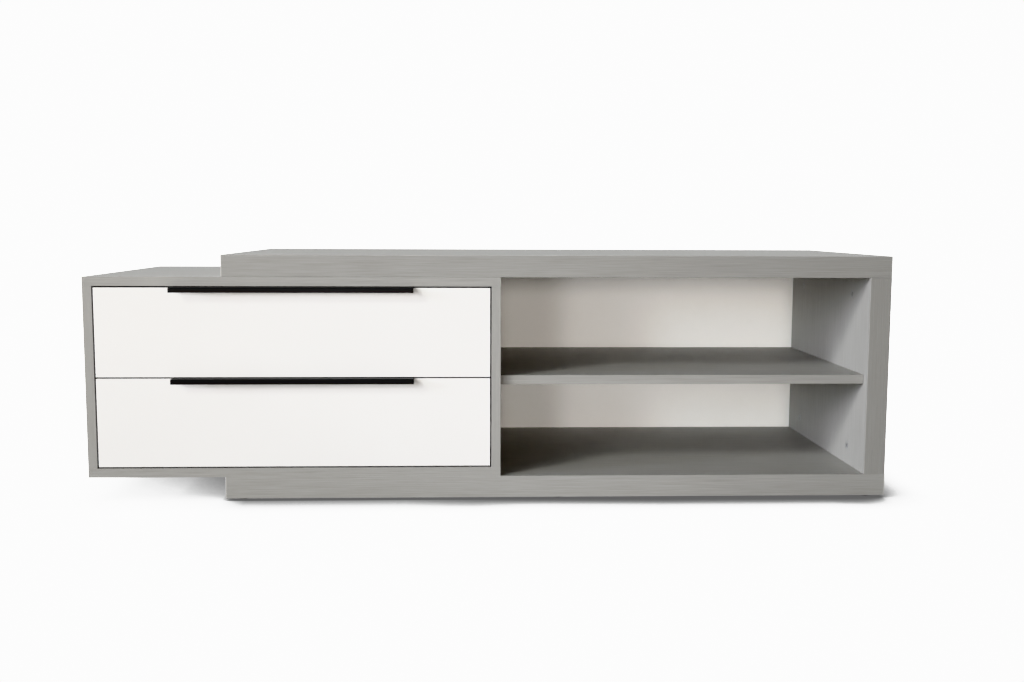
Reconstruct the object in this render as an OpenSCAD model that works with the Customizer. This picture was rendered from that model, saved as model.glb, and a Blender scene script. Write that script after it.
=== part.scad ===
// Low television cabinet: a box with two drawers stands inside a thick C-shaped frame and
// reaches out past its open left side, and a bay with one shelf is left open on the right.
// Millimetres, +Z up, front towards -Y, origin under the middle of the overall outline.

/* [Thick frame] */
// Width over everything, from the free end of the drawer box to the right side
overall_w = 1400; // [1250:10:1600]
// Width of the thick frame
frame_w = 1165; // [1000:5:1300]
// Depth of the boards from front to back
depth = 480; // [420:10:600]
// Thickness of the two slabs and of the right side
slab_t = 38; // [28:1:50]
// Clear height between the two slabs, which the drawer box fills
clear_h = 349; // [300:1:420]

/* [Drawer box] */
// Width of the drawer box
box_w = 715; // [620:5:820]
// Thickness of the boards of the box and of the shelf
board_t = 16; // [15:1:22]

/* [Open bay] */
// Clear height under the shelf
under_shelf_h = 160; // [100:5:240]
// Distance of the front edge of the shelf behind the front
shelf_setback = 18; // [4:1:80]
// Distance of the shelf pins from the front and rear edges of the shelf
pin_inset = 60; // [30:5:100]
// Diameter of the stem of a shelf pin
pin_d = 5; // [4:0.5:6]
// Length of the stem inside the board
pin_l = 8.5; // [6:0.5:9]
// Diameter of the collar of a shelf pin
pin_collar_d = 9; // [7:0.5:12]
// Reach of a shelf pin under the shelf
pin_reach = 8; // [5:0.5:12]

/* [Back panels] */
// Thickness of the thin back panels
back_t = 3; // [3:0.5:5]
// Distance of the back panels in front of the rear edges
back_inset = 10; // [7:1:25]
// Depth of the grooves that hold the back panels and the drawer bottoms
groove_d = 5; // [3:0.5:5.5]

/* [Drawer fronts] */
// Thickness of a drawer front
front_t = 16; // [15:1:22]
// Gap between the fronts and around them
front_gap = 2.5; // [2.2:0.1:4]

/* [Drawers] */
// Thickness of the boards of a drawer
drawer_board_t = 12; // [11:0.5:16]
// Thickness of a drawer bottom
drawer_bottom_t = 3; // [3:0.5:5]
// Height of the lower edge of the drawer above the lower edge of its front
drawer_lift = 12; // [8:1:20]
// Distance of the upper edge of the drawer below the upper edge of its front
drawer_drop = 24; // [21:1:40]
// Height of the drawer bottom above the lower edge of the drawer
bottom_rise = 8; // [6:0.5:12]

/* [Handles] */
// Length of a handle profile
handle_l = 415; // [200:5:500]
// Wall thickness of the handle profile
handle_t = 1.5; // [1.2:0.1:1.8]
// Reach of the handle in front of the drawer front
handle_reach = 20; // [14:1:30]
// Height of the grip lip at the front of the handle
lip_h = 9; // [7:0.5:14]
// Radius of the nose between the top plate and the grip lip
nose_r = 3; // [2:0.5:5]
// Height of the flange behind the drawer front
flange_h = 18; // [14:1:20]
// Distance of the outer handle screws from the ends of the handle
handle_screw_inset = 40; // [20:5:80]

/* [Runners] */
// Height of the cabinet rail
rail_h = 45; // [42:1:50]
// Width of the space between the box side and the drawer side
rail_space = 12.7; // [12.5:0.1:13.5]
// Wall thickness of the rails
rail_t = 1.2; // [1:0.1:1.3]
// Outer radius of the rail bends
rail_r = 2; // [1.6:0.1:2.4]
// Height of the runner's centre above the lower edge of the drawer
rail_rise = 40; // [34:1:48]
// Distance of the rails behind the drawer fronts
rail_front_gap = 2; // [1:0.5:6]
// Free depth behind the rails, for plugs and cables
rail_rear_space = 62; // [30:1:120]
// Distance of the rail lips from the drawer side
lip_back = 2.5; // [2:0.1:3]
// Straight length of a lip on the cabinet rail below its bend
outer_lip_drop = 0.8; // [0.4:0.1:0.9]
// Straight length of a lip on the middle rail below its bend
middle_lip_drop = 0.4; // [0.2:0.1:0.5]
// Distance of the end screws from the ends of a rail
rail_screw_inset = 37; // [25:1:60]
// Diameter of the screwdriver holes in the middle rail
access_d = 12; // [9:0.5:14]
// Length of the spare fixing slots in the cabinet and drawer rails
slot_l = 9; // [6:0.5:12]
// Width of the slots
slot_w = 3.8; // [3.2:0.1:3.9]
// Distance of a slot from the end screw beside it
slot_pitch = 20; // [14:1:24]

/* [Release levers] */
// Length of the release lever in a drawer rail
lever_l = 70; // [50:1:80]
// Width of its round pads
lever_w = 9; // [7:0.5:10]
// Width of the springy arm between the pads
lever_arm_w = 4; // [3:0.5:6]
// Thickness of the lever
lever_t = 1.6; // [1:0.1:2.4]
// Reach of the catch past the arm
lever_catch = 3; // [2:0.5:4]
// Height of the thumb ribs on the front pad
lever_rib_h = 1.2; // [0.6:0.1:1.6]
// Diameter of the stud that holds the lever in the rail
lever_stud_d = 4; // [3:0.5:5]

/* [Ball cages] */
// Diameter of a runner ball
ball_d = 3.5; // [3.2:0.1:3.6]
// Thickness of the cage strip
cage_t = 0.6; // [0.5:0.1:0.7]
// Balls in one row
balls_per_row = 6; // [3:1:8]
// Distance between balls in a row
ball_pitch = 20; // [12:1:22]
// Distance of the end balls from the ends of the cage
cage_end = 8; // [5:1:12]
// Distance of a cage from the end of the middle rail
cage_inset = 14; // [8:1:20]

/* [Cam joints] */
// Distance of a cam lock from the end of its board
cam_reach = 34; // [28:1:38]
// Distance of the cam locks from the front and rear edges
cam_inset = 93; // [70:1:110]
// Diameter of a cam lock
cam_d = 15; // [12:0.5:16]
// Depth of the bolt axis behind the face of the board
cam_axis = 8; // [7:0.1:8.2]
// Height of a cam lock beyond the bolt axis
cam_floor = 4.5; // [4:0.1:5.5]
// Diameter of the head of a cam bolt
bolt_head_d = 6.5; // [5.5:0.1:7]
// Diameter of the shank of a cam bolt
bolt_d = 7; // [6:0.1:7.5]
// Diameter of the thread of a cam bolt
thread_d = 5; // [4:0.1:6]
// Length of the thread in the neighbouring board
thread_l = 11; // [8:0.5:12.5]
// Diameter of a wooden dowel
dowel_d = 8; // [6:0.5:9]
// Length of a dowel in the end of a board
dowel_end_l = 19; // [14:1:25]
// Length of a dowel in the face of the neighbouring board
dowel_face_l = 11; // [8:0.5:12.5]
// Distance of a dowel from its cam bolt
dowel_pitch = 32; // [20:1:48]

/* [Screws] */
// Diameter of the screws through wood
screw_d = 4; // [3:0.5:4.5]
// Diameter of their countersunk heads
screw_head_d = 8; // [6.5:0.5:9]
// Length of the screws that join the drawer box to the slabs
join_screw_l = 35; // [30:1:38]
// Distance of the joining screws from the ends of the overlap
join_inset_x = 70; // [30:5:90]
// Distance of the joining screws from the front and rear edges
join_inset_y = 60; // [30:5:68]
// Length of the screws in the corners of a drawer
case_screw_l = 35; // [25:1:45]
// Height of the lower corner screws above the cabinet rail
case_screw_gap = 8; // [6:0.5:10]
// Distance of the upper corner screws below the upper edge of the drawer
case_screw_drop = 14; // [8:1:16]
// Length of the screws that hold a front on its drawer
front_screw_l = 22; // [18:1:25]
// Distance of the front screws from the sides of the drawer
front_screw_inset = 60; // [25:5:120]
// Distance of the front screws from the upper and lower edges of the drawer
front_screw_edge = 27; // [21:1:36]
// Diameter of the small screws in rails and handles
small_screw_d = 3.5; // [3:0.1:4]
// Diameter of their heads
small_head_d = 7; // [6:0.1:8]
// Length of the rail screws
rail_screw_l = 10.5; // [8:0.5:11]
// Length of the handle screws
handle_screw_l = 12; // [9:0.5:14]
// Height of the round head of a handle screw
round_head_h = 2; // [1.5:0.1:3]

/* [Glides] */
// Height of the glides under the bottom slab
foot_h = 5; // [3:0.5:12]
// Diameter of a glide
foot_d = 24; // [18:1:40]
// Chamfer around the tread of a glide
foot_chamfer = 1.2; // [0.5:0.1:2]
// Distance of the glides from the edges of the bottom slab
foot_inset = 28; // [22:1:60]
// Glides along the width
foot_count = 3; // [2:1:5]
// Diameter of the nail of a glide
nail_d = 3; // [2:0.5:4]
// Length of the nail in the slab
nail_l = 14; // [8:1:20]

/* [Clearances] */
// Play around screws, bolts, dowels and pins
fit = 0.1; // [0.05:0.01:0.2]
// Play on each face of a panel in its groove
groove_play = 0.2; // [0.1:0.05:0.3]
// Gap between each end of the shelf and the wall beside it
shelf_end_gap = 0.5; // [0.3:0.1:0.9]
// Gap between the rear edge of the shelf and the back panel
shelf_rear_gap = 0.8; // [0.3:0.1:0.9]
// Gap between the faces of rails and cages that pass each other
run_gap = 0.35; // [0.3:0.05:0.4]
// Play of a ball between its two rails
ball_play = 0.2; // [0.15:0.01:0.25]
// Play of a ball in its cage
cage_play = 0.1; // [0.05:0.01:0.15]

/* [Hidden] */

$fn = 48;
// Overshoot of a cut past the face that it opens
over = 0.1;

// Names of the two drawers and of the two sides of a drawer
LOWER = 0;
UPPER = 1;
LEFT = 0;
RIGHT = 1;

// Colours of the materials
grey_decor = [0.62, 0.63, 0.62];
white_lacquer = [0.94, 0.94, 0.93];
white_board = [0.90, 0.90, 0.88];
black_metal = [0.08, 0.08, 0.09];
zinc = [0.72, 0.73, 0.75];
steel = [0.80, 0.81, 0.83];
beech = [0.80, 0.66, 0.47];
dark_plastic = [0.16, 0.16, 0.17];

// Front and rear faces of the boards; the handles reach out in front of them
front_y = (handle_reach - depth) / 2;
back_y = front_y + depth;
// Left and right faces of the frame, the bay and the drawer box
frame_x1 = overall_w / 2;
frame_x0 = frame_x1 - frame_w;
bay_x1 = frame_x1 - slab_t;
box_x0 = -overall_w / 2;
box_x1 = box_x0 + box_w;
box_in_x0 = box_x0 + board_t;
box_in_x1 = box_x1 - board_t;
// Levels of the clear height, and of the space inside the drawer box
clear_z0 = foot_h + slab_t;
clear_z1 = clear_z0 + clear_h;
box_in_z0 = clear_z0 + board_t;
box_in_z1 = clear_z1 - board_t;
// Front face of both back panels
panel_y = back_y - back_inset - back_t;
shelf_z = clear_z0 + under_shelf_h;

// Fronts, stacked with one gap below, between and above them
front_h = (box_in_z1 - box_in_z0 - 3 * front_gap) / 2;
front_x0 = box_in_x0 + front_gap;
front_x1 = box_in_x1 - front_gap;
front_mid_x = (front_x0 + front_x1) / 2;
function front_z(level) = box_in_z0 + front_gap + level * (front_h + front_gap);

// Drawer boxes behind the fronts
rail_l = depth - front_t - rail_front_gap - rail_rear_space;
drawer_y0 = front_y + front_t;
drawer_y1 = drawer_y0 + rail_front_gap + rail_l;
drawer_x0 = box_in_x0 + rail_space;
drawer_x1 = box_in_x1 - rail_space;
drawer_in_x0 = drawer_x0 + drawer_board_t;
drawer_in_x1 = drawer_x1 - drawer_board_t;
drawer_h = front_h - drawer_lift - drawer_drop;
function drawer_z(level) = front_z(level) + drawer_lift;

// Runner levels, measured from its centre: cabinet rail, balls, middle rail, balls, drawer rail
cabinet_v = rail_h / 2;
outer_ball_v = cabinet_v - rail_t - ball_play - ball_d / 2;
middle_v = outer_ball_v - ball_d / 2 - ball_play;
inner_ball_v = middle_v - rail_t - ball_play - ball_d / 2;
drawer_rail_v = inner_ball_v - ball_d / 2 - ball_play;
// Runner layers, measured from the side of the box
lip_u = rail_space - lip_back;
outer_cage_u = rail_t + run_gap;
middle_u = outer_cage_u + cage_t + run_gap;
inner_cage_u = middle_u + rail_t + run_gap;
drawer_tip_u = inner_cage_u + cage_t + run_gap;
outer_ball_u = lip_u / 2 + cage_t;
inner_ball_u = (drawer_tip_u + lip_u - rail_t) / 2;
// Cage flanges end one strip past the ball holes
outer_cage_end_u = outer_ball_u + ball_d / 2 + cage_play + cage_t;
inner_cage_end_u = inner_ball_u + ball_d / 2 + cage_play + cage_t;
cage_l = (balls_per_row - 1) * ball_pitch + 2 * cage_end;
// The outer cage stays at the rear of the middle rail and the inner one at its front,
// where the rails still overlap when the drawer is fully out
outer_cage_y = rail_l - cage_inset - cage_l;
inner_cage_y = cage_inset;
rail_screw_ys = [rail_screw_inset, rail_l / 2, rail_l - rail_screw_inset];
rail_slot_ys = [rail_screw_inset + slot_pitch, rail_l - rail_screw_inset - slot_pitch];
// Middle of a release lever, half way between the first slot and the middle screw
lever_y = (rail_slot_ys[0] + rail_screw_ys[1]) / 2;
ball_ys = [for (i = [0 : balls_per_row - 1]) cage_end + i * ball_pitch];

// Cam joints and dowels along the depth
cam_depth = cam_axis + cam_floor;
cam_ys = [front_y + cam_inset, back_y - cam_inset];
dowel_ys = [cam_ys[0] + dowel_pitch, cam_ys[1] - dowel_pitch];
// Proportions of a cam bolt, from the middle of the cam outwards
bolt_head_half = 1.5;
bolt_neck_d = 4;
bolt_neck_l = cam_d / 2 + 1;
// Cross slot in the face of a cam lock
cam_slot_l = 9;
cam_slot_w = 1.6;
cam_slot_h = 2;

// Basic shapes

// Box between two opposite corners
module block(low, high) {
    translate(low) cube(high - low);
}

// Countersunk screw along -Z with the top of its head at the origin; grow widens it to a bore
module countersunk_screw(d, head_d, l, grow = 0) {
    head_h = (head_d - d) / 2;
    translate([0, 0, -head_h]) cylinder(h = head_h, d1 = d + 2 * grow, d2 = head_d + 2 * grow);
    translate([0, 0, -l - grow]) cylinder(h = l + grow, d = d + 2 * grow);
    if (grow > 0) translate([0, 0, -grow]) cylinder(h = grow + over, d = head_d + 2 * grow);
}

// Round-headed screw along -Z with the underside of its head at the origin
module round_head_screw(d, head_d, head_h, l) {
    translate([0, 0, -l]) cylinder(h = l, d = d);
    cylinder(h = head_h / 2, d = head_d);
    translate([0, 0, head_h / 2]) cylinder(h = head_h / 2, d1 = head_d, d2 = head_d - head_h);
}

// Turns +Z towards +X
module to_x() {
    rotate([0, 90, 0]) children();
}

// Runs a flat outline of X and Z along +Y
module along_y(l) {
    translate([0, l, 0]) rotate([90, 0, 0]) linear_extrude(l) children();
}

// Runs a flat outline of Y and Z along +X
module along_x(l) {
    rotate([90, 0, 90]) linear_extrude(l) children();
}

// Rectangle with four round corners, centred on the X axis
module round_rect(x0, x1, half_h, r) {
    translate([x0 + r, -half_h]) square([x1 - x0 - 2 * r, 2 * half_h]);
    translate([x0, r - half_h]) square([x1 - x0, 2 * (half_h - r)]);
    for (x = [x0 + r, x1 - r], y = [r - half_h, half_h - r]) translate([x, y]) circle(r);
}

// Fittings in the ends of the upright boards

// Places a local frame at both ends of an upright board. +Z leaves the end of the board and
// +X leaves the face that the cam locks open to.
module board_ends(face_x, facing, z0, z1) {
    for (end = [0, 1])
        translate([face_x, 0, end == 1 ? z1 : z0])
            mirror([0, 0, 1 - end])
                mirror([facing < 0 ? 1 : 0, 0, 0])
                    children();
}

module frame_ends() {
    board_ends(bay_x1, -1, clear_z0, clear_z1) children();
}

module left_box_ends() {
    board_ends(box_in_x0, 1, box_in_z0, box_in_z1) children();
}

module right_box_ends() {
    board_ends(box_in_x1, -1, box_in_z0, box_in_z1) children();
}

module at_cams() {
    for (y = cam_ys) translate([0, y, -cam_reach]) children();
}

module at_dowels() {
    for (y = dowel_ys) translate([-cam_axis, y, 0]) children();
}

// Cam lock with a cross slot in its face and a mouth for the head of the bolt
module cam_lock() {
    mouth_d = bolt_head_d + 4 * fit;
    difference() {
        to_x() translate([0, 0, -cam_depth]) cylinder(h = cam_depth, d = cam_d);
        translate([-cam_axis, 0, -bolt_head_half - 2 * fit]) cylinder(h = cam_d, d = mouth_d);
        for (turn = [45, 135])
            rotate([turn, 0, 0])
                cube([2 * cam_slot_h, cam_slot_l, cam_slot_w], center = true);
    }
}

// Bolt with its head in the cam lock and its thread in the neighbouring board
module cam_bolt() {
    translate([-cam_axis, 0, 0]) {
        translate([0, 0, -bolt_head_half]) cylinder(h = 2 * bolt_head_half, d = bolt_head_d);
        cylinder(h = bolt_neck_l, d = bolt_neck_d);
        translate([0, 0, bolt_neck_l]) cylinder(h = cam_reach - bolt_neck_l, d = bolt_d);
        translate([0, 0, cam_reach]) cylinder(h = thread_l, d = thread_d);
    }
}

module dowel(grow = 0) {
    translate([0, 0, -dowel_end_l - grow])
        cylinder(h = dowel_end_l + dowel_face_l + 2 * grow, d = dowel_d + 2 * grow);
}

// Every bore that the cams, bolts and dowels of one board end need, in both boards
module fitting_bores() {
    at_cams() {
        to_x() translate([0, 0, -cam_depth - fit]) cylinder(h = cam_depth + fit + over, d = cam_d + 2 * fit);
        translate([-cam_axis, 0, 0]) cylinder(h = cam_reach, d = bolt_d + 2 * fit);
        translate([-cam_axis, 0, 0]) cylinder(h = cam_reach + thread_l + fit, d = thread_d + 2 * fit);
    }
    at_dowels() dowel(fit);
}

// Screws between the drawer box and the slabs, driven from inside the box
module at_joining_screws(bottom) {
    z = bottom ? box_in_z0 : box_in_z1;
    for (x = [frame_x0 + join_inset_x, box_in_x1 - join_inset_x],
         y = [front_y + join_inset_y, back_y - join_inset_y])
        translate([x, y, z]) mirror([0, 0, bottom ? 0 : 1]) children();
}

module joining_screw(grow = 0) {
    countersunk_screw(screw_d, screw_head_d, join_screw_l, grow);
}

// Space that a thin panel takes in the grooves around it
module bay_panel_space() {
    block([box_x1 - groove_d, panel_y - groove_play, clear_z0 - groove_d],
          [bay_x1 + groove_d, panel_y + back_t + groove_play, clear_z1 + groove_d]);
}

module box_panel_space() {
    block([box_in_x0 - groove_d, panel_y - groove_play, box_in_z0 - groove_d],
          [box_in_x1 + groove_d, panel_y + back_t + groove_play, box_in_z1 + groove_d]);
}

// Thick frame

module top_slab() {
    color(grey_decor) difference() {
        block([frame_x0, front_y, clear_z1], [frame_x1, back_y, clear_z1 + slab_t]);
        bay_panel_space();
        frame_ends() fitting_bores();
        at_joining_screws(false) joining_screw(fit);
    }
}

module bottom_slab() {
    color(grey_decor) difference() {
        block([frame_x0, front_y, foot_h], [frame_x1, back_y, clear_z0]);
        bay_panel_space();
        frame_ends() fitting_bores();
        at_joining_screws(true) joining_screw(fit);
        at_glides() cylinder(h = foot_h + nail_l + fit, d = nail_d + 2 * fit);
    }
}

module right_side_slab() {
    color(grey_decor) difference() {
        block([bay_x1, front_y, clear_z0], [frame_x1, back_y, clear_z1]);
        bay_panel_space();
        frame_ends() fitting_bores();
        at_shelf_pins() shelf_pin_bore();
    }
}

module frame_cam_locks() {
    color(zinc) frame_ends() at_cams() cam_lock();
}

module frame_cam_bolts() {
    color(steel) frame_ends() at_cams() cam_bolt();
}

module frame_dowels() {
    color(beech) frame_ends() at_dowels() dowel();
}

// Glides

module at_glides() {
    span_x = frame_w - 2 * foot_inset;
    for (i = [0 : foot_count - 1], y = [front_y + foot_inset, back_y - foot_inset])
        translate([frame_x0 + foot_inset + i * span_x / (foot_count - 1), y, 0]) children();
}

module glides() {
    r = foot_d / 2;
    color(dark_plastic) at_glides() {
        rotate_extrude()
            polygon([[0, 0], [r - foot_chamfer, 0], [r, foot_chamfer], [r, foot_h], [0, foot_h]]);
        translate([0, 0, foot_h]) cylinder(h = nail_l, d = nail_d);
    }
}

// Drawer box

module box_top() {
    color(grey_decor) difference() {
        block([box_x0, front_y, box_in_z1], [box_x1, back_y, clear_z1]);
        box_panel_space();
        bay_panel_space();
        left_box_ends() fitting_bores();
        right_box_ends() fitting_bores();
        at_joining_screws(false) joining_screw(fit);
    }
}

module box_bottom() {
    color(grey_decor) difference() {
        block([box_x0, front_y, clear_z0], [box_x1, back_y, box_in_z0]);
        box_panel_space();
        bay_panel_space();
        left_box_ends() fitting_bores();
        right_box_ends() fitting_bores();
        at_joining_screws(true) joining_screw(fit);
    }
}

module box_left_side() {
    color(grey_decor) difference() {
        block([box_x0, front_y, box_in_z0], [box_in_x0, back_y, box_in_z1]);
        box_panel_space();
        left_box_ends() fitting_bores();
        cabinet_rail_screw_set(LEFT, fit);
    }
}

module box_right_side() {
    color(grey_decor) difference() {
        block([box_in_x1, front_y, box_in_z0], [box_x1, back_y, box_in_z1]);
        box_panel_space();
        bay_panel_space();
        right_box_ends() fitting_bores();
        cabinet_rail_screw_set(RIGHT, fit);
        at_shelf_pins() shelf_pin_bore();
    }
}

module box_cam_locks() {
    color(zinc) {
        left_box_ends() at_cams() cam_lock();
        right_box_ends() at_cams() cam_lock();
    }
}

module box_cam_bolts() {
    color(steel) {
        left_box_ends() at_cams() cam_bolt();
        right_box_ends() at_cams() cam_bolt();
    }
}

module box_dowels() {
    color(beech) {
        left_box_ends() at_dowels() dowel();
        right_box_ends() at_dowels() dowel();
    }
}

module joining_screws() {
    color(steel) {
        at_joining_screws(false) joining_screw();
        at_joining_screws(true) joining_screw();
    }
}

// Thin panels

module box_back_panel() {
    reach = groove_d - groove_play;
    color(white_board)
        block([box_in_x0 - reach, panel_y, box_in_z0 - reach],
              [box_in_x1 + reach, panel_y + back_t, box_in_z1 + reach]);
}

module bay_back_panel() {
    reach = groove_d - groove_play;
    color(white_board)
        block([box_x1 - reach, panel_y, clear_z0 - reach],
              [bay_x1 + reach, panel_y + back_t, clear_z1 + reach]);
}

// Shelf and its pins

module bay_shelf() {
    color(grey_decor)
        block([box_x1 + shelf_end_gap, front_y + shelf_setback, shelf_z],
              [bay_x1 - shelf_end_gap, panel_y - shelf_rear_gap, shelf_z + board_t]);
}

// Places a local frame at each pin: +X points into the bay and Z is 0 under the shelf
module at_shelf_pins() {
    for (right = [0, 1], y = [front_y + shelf_setback + pin_inset, panel_y - shelf_rear_gap - pin_inset])
        translate([right == 1 ? bay_x1 : box_x1, y, shelf_z])
            mirror([right, 0, 0])
                children();
}

module shelf_pin_bore() {
    translate([-pin_l - fit, 0, -pin_d / 2])
        to_x() cylinder(h = pin_l + fit + over, d = pin_d + 2 * fit);
}

// Stem in the board, collar against it and a flat-topped spade under the shelf
module shelf_pin() {
    collar_t = pin_d / 4;
    translate([-pin_l, 0, -pin_d / 2]) to_x() cylinder(h = pin_l + pin_reach - pin_d / 2, d = pin_d);
    intersection() {
        union() {
            translate([0, 0, -pin_d / 2]) to_x() cylinder(h = collar_t, d = pin_collar_d);
            translate([0, -pin_d / 2, -pin_d / 2]) cube([pin_reach - pin_d / 2, pin_d, pin_d / 2]);
            translate([pin_reach - pin_d / 2, 0, -pin_d / 2]) cylinder(h = pin_d / 2, d = pin_d);
        }
        block([0, -pin_collar_d, -pin_collar_d], [pin_reach, pin_collar_d, 0]);
    }
}

module shelf_pins() {
    color(steel) at_shelf_pins() shelf_pin();
}

// Runners: three nested rails, with two ball cages between them

// Places a runner frame: X is 0 on the side of the box and grows towards the drawer, Y is 0
// at the front end of the rails and Z is 0 at the runner's centre
module on_runner(level, side) {
    translate([side == RIGHT ? box_in_x1 : box_in_x0,
               drawer_y0 + rail_front_gap,
               drawer_z(level) + rail_rise])
        mirror([side == RIGHT ? 1 : 0, 0, 0])
            children();
}

// Channel with four bends and two short lips along its open mouth
module lipped_channel(u0, u1, half_v, drop) {
    mouth_v = half_v - rail_r - drop;
    difference() {
        round_rect(u0, u1, half_v, rail_r);
        round_rect(u0 + rail_t, u1 - rail_t, half_v - rail_t, rail_r - rail_t);
        translate([u1 - rail_t - over, -mouth_v]) square([rail_t + 2 * over, 2 * mouth_v]);
    }
}

// Channel with two bends, open towards the box
module plain_channel(u0, u1, half_v) {
    difference() {
        round_rect(u0 - 2 * rail_r, u1, half_v, rail_r);
        round_rect(u0 - 2 * rail_r, u1 - rail_t, half_v - rail_t, rail_r - rail_t);
        translate([u0 - 3 * rail_r, -2 * half_v]) square([3 * rail_r, 4 * half_v]);
    }
}

module cage_outline(u0, u1, ball_v) {
    half_v = ball_v + cage_t / 2;
    difference() {
        translate([u0, -half_v]) square([u1 - u0, 2 * half_v]);
        translate([u0 + cage_t, cage_t - half_v]) square([u1 - u0, 2 * (half_v - cage_t)]);
    }
}

module cage(u0, u1, ball_u, ball_v) {
    difference() {
        along_y(cage_l) cage_outline(u0, u1, ball_v);
        for (y = ball_ys)
            translate([ball_u, y, -2 * ball_v]) cylinder(h = 4 * ball_v, d = ball_d + 2 * cage_play);
    }
}

module ball_rows(ball_u, ball_v) {
    for (y = ball_ys, v = [-ball_v, ball_v]) translate([ball_u, y, v]) sphere(d = ball_d);
}

// Screws of the cabinet rail, with their heads flush in the rail
module cabinet_rail_screw(grow = 0) {
    to_x() countersunk_screw(small_screw_d, small_head_d, rail_screw_l, grow);
}

module cabinet_rail_screw_set(side, grow = 0) {
    for (level = [LOWER, UPPER])
        on_runner(level, side)
            for (y = rail_screw_ys) translate([rail_t, y, 0]) cabinet_rail_screw(grow);
}

// Screws of the drawer rail, driven from its hollow side into the drawer
module drawer_rail_screw_set(level, side, grow = 0) {
    on_runner(level, side)
        for (y = rail_screw_ys)
            translate([rail_space - rail_t, y, 0])
                mirror([1, 0, 0])
                    to_x() countersunk_screw(small_screw_d, small_head_d, rail_screw_l, grow);
}

// Spare fixing slots in the web of a rail, with round ends
module rail_slots(web_u) {
    half = (slot_l - slot_w) / 2;
    for (y = rail_slot_ys) translate([web_u - over, y, 0]) {
        for (end = [-half, half])
            translate([0, end, 0]) to_x() cylinder(h = rail_t + 2 * over, d = slot_w);
        translate([0, -half, -slot_w / 2]) cube([rail_t + 2 * over, 2 * half, slot_w]);
    }
}

module cabinet_rail(level, side) {
    color(zinc) difference() {
        on_runner(level, side) along_y(rail_l) lipped_channel(0, lip_u, cabinet_v, outer_lip_drop);
        on_runner(level, side) rail_slots(0);
        cabinet_rail_screw_set(side, fit);
    }
}

module cabinet_rail_screws() {
    color(steel) for (side = [LEFT, RIGHT]) cabinet_rail_screw_set(side);
}

module middle_rail(level, side) {
    color(zinc) on_runner(level, side) difference() {
        along_y(rail_l) lipped_channel(middle_u, lip_u, middle_v, middle_lip_drop);
        for (y = rail_screw_ys)
            translate([middle_u - over, y, 0]) to_x() cylinder(h = rail_t + 2 * over, d = access_d);
    }
}

module ball_cages(level) {
    color(steel) for (side = [LEFT, RIGHT]) on_runner(level, side) {
        translate([0, outer_cage_y, 0]) cage(outer_cage_u, outer_cage_end_u, outer_ball_u, outer_ball_v);
        translate([0, inner_cage_y, 0]) cage(inner_cage_u, inner_cage_end_u, inner_ball_u, inner_ball_v);
    }
}

module balls(level) {
    color(steel) for (side = [LEFT, RIGHT]) on_runner(level, side) {
        translate([0, outer_cage_y, 0]) ball_rows(outer_ball_u, outer_ball_v);
        translate([0, inner_cage_y, 0]) ball_rows(inner_ball_u, inner_ball_v);
    }
}

// Places a frame at a release lever: X is 0 on the web of the drawer rail and grows into it
module at_release_lever(level, side) {
    on_runner(level, side) translate([rail_space - rail_t, lever_y, 0]) children();
}

module lever_stud_bore() {
    translate([-over, 0, 0]) to_x() cylinder(h = rail_t + 2 * over, d = lever_stud_d + 2 * fit);
}

// Flat outline of a lever: a pad at each end, the arm between them and a catch at the rear
module lever_outline() {
    pad_y = (lever_l - lever_w) / 2;
    for (y = [-pad_y, pad_y]) translate([y, 0]) circle(d = lever_w);
    translate([-pad_y, -lever_arm_w / 2]) square([2 * pad_y, lever_arm_w]);
    translate([pad_y - lever_w, -lever_arm_w / 2]) square([lever_w / 2, lever_arm_w + lever_catch]);
}

// Lever with three thumb ribs on its front pad and a stud through the web
module release_lever() {
    pad_y = (lever_w - lever_l) / 2;
    rib_pitch = lever_w / 4;
    rib_w = rib_pitch / 2;
    translate([-lever_t, 0, 0]) along_x(lever_t) lever_outline();
    for (y = [pad_y - rib_pitch, pad_y, pad_y + rib_pitch])
        translate([-lever_t - lever_rib_h, y - rib_w / 2, -lever_arm_w / 2])
            cube([lever_rib_h, rib_w, lever_arm_w]);
    // The stud ends just inside the rail, clear of the drawer side
    to_x() cylinder(h = rail_t - fit, d = lever_stud_d);
}

module release_levers(level) {
    color(dark_plastic) for (side = [LEFT, RIGHT]) at_release_lever(level, side) release_lever();
}

module drawer_rail(level, side) {
    color(zinc) difference() {
        on_runner(level, side) along_y(rail_l) plain_channel(drawer_tip_u, rail_space, drawer_rail_v);
        on_runner(level, side) rail_slots(rail_space - rail_t);
        at_release_lever(level, side) lever_stud_bore();
        drawer_rail_screw_set(level, side, fit);
    }
}

module drawer_rail_screws(level) {
    color(steel) for (side = [LEFT, RIGHT]) drawer_rail_screw_set(level, side);
}

// Drawer fronts and handles

// Screws through the handle flange, with their heads behind the front
module at_handle_screws(level) {
    handle_x0 = front_mid_x - handle_l / 2;
    for (x = [handle_x0 + handle_screw_inset, front_mid_x, handle_x0 + handle_l - handle_screw_inset])
        translate([x, drawer_y0 + handle_t, front_z(level) + front_h - flange_h / 2])
            rotate([-90, 0, 0])
                children();
}

// Screws through the inner front into the drawer front
module at_front_screws(level) {
    for (x = [drawer_in_x0 + front_screw_inset, drawer_in_x1 - front_screw_inset],
         z = [front_screw_edge, drawer_h - front_screw_edge])
        translate([x, drawer_y0 + drawer_board_t, drawer_z(level) + z])
            rotate([-90, 0, 0])
                children();
}

module drawer_front(level) {
    z = front_z(level);
    color(white_lacquer) difference() {
        block([front_x0, front_y, z], [front_x1, drawer_y0, z + front_h]);
        at_handle_screws(level)
            translate([0, 0, -handle_screw_l - fit])
                cylinder(h = handle_screw_l + fit, d = small_screw_d + 2 * fit);
        at_front_screws(level) countersunk_screw(screw_d, screw_head_d, front_screw_l, fit);
    }
}

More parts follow.
